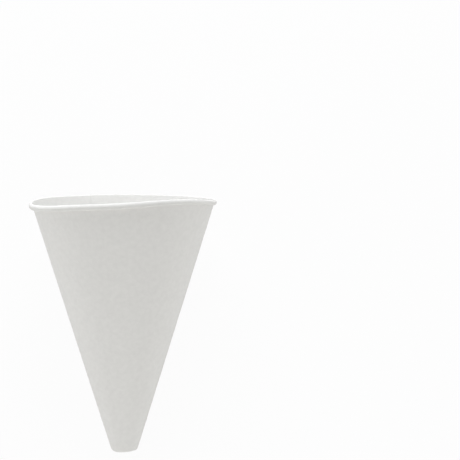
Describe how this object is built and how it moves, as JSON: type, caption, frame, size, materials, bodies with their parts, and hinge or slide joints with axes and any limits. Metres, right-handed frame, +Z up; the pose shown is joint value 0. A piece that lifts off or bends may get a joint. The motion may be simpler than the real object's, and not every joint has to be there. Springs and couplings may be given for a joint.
{
  "type": "cone paper cup",
  "caption": "Plain white paper drinking cup shaped as a long cone, wound from one sheet, with a rolled rim and a blunt closed tip, lying on its side.",
  "frame": {"origin": "centre of the bounding box's bottom, on the floor that the cup lies on", "axes": "+Y towards the mouth along the floor, +Z up. The cone's own axis rises 18.0 degrees from +Y, from the tip to the middle of the mouth."},
  "size_m": [0.091, 0.1332, 0.0879],
  "materials": {
    "cup_paper": "uncoated white cup paper, matt, with a faint cloudy fibre pattern"
  },
  "bodies": {
    "root": {"paper_cup": "cup_paper"}
  },
  "joints": []
}
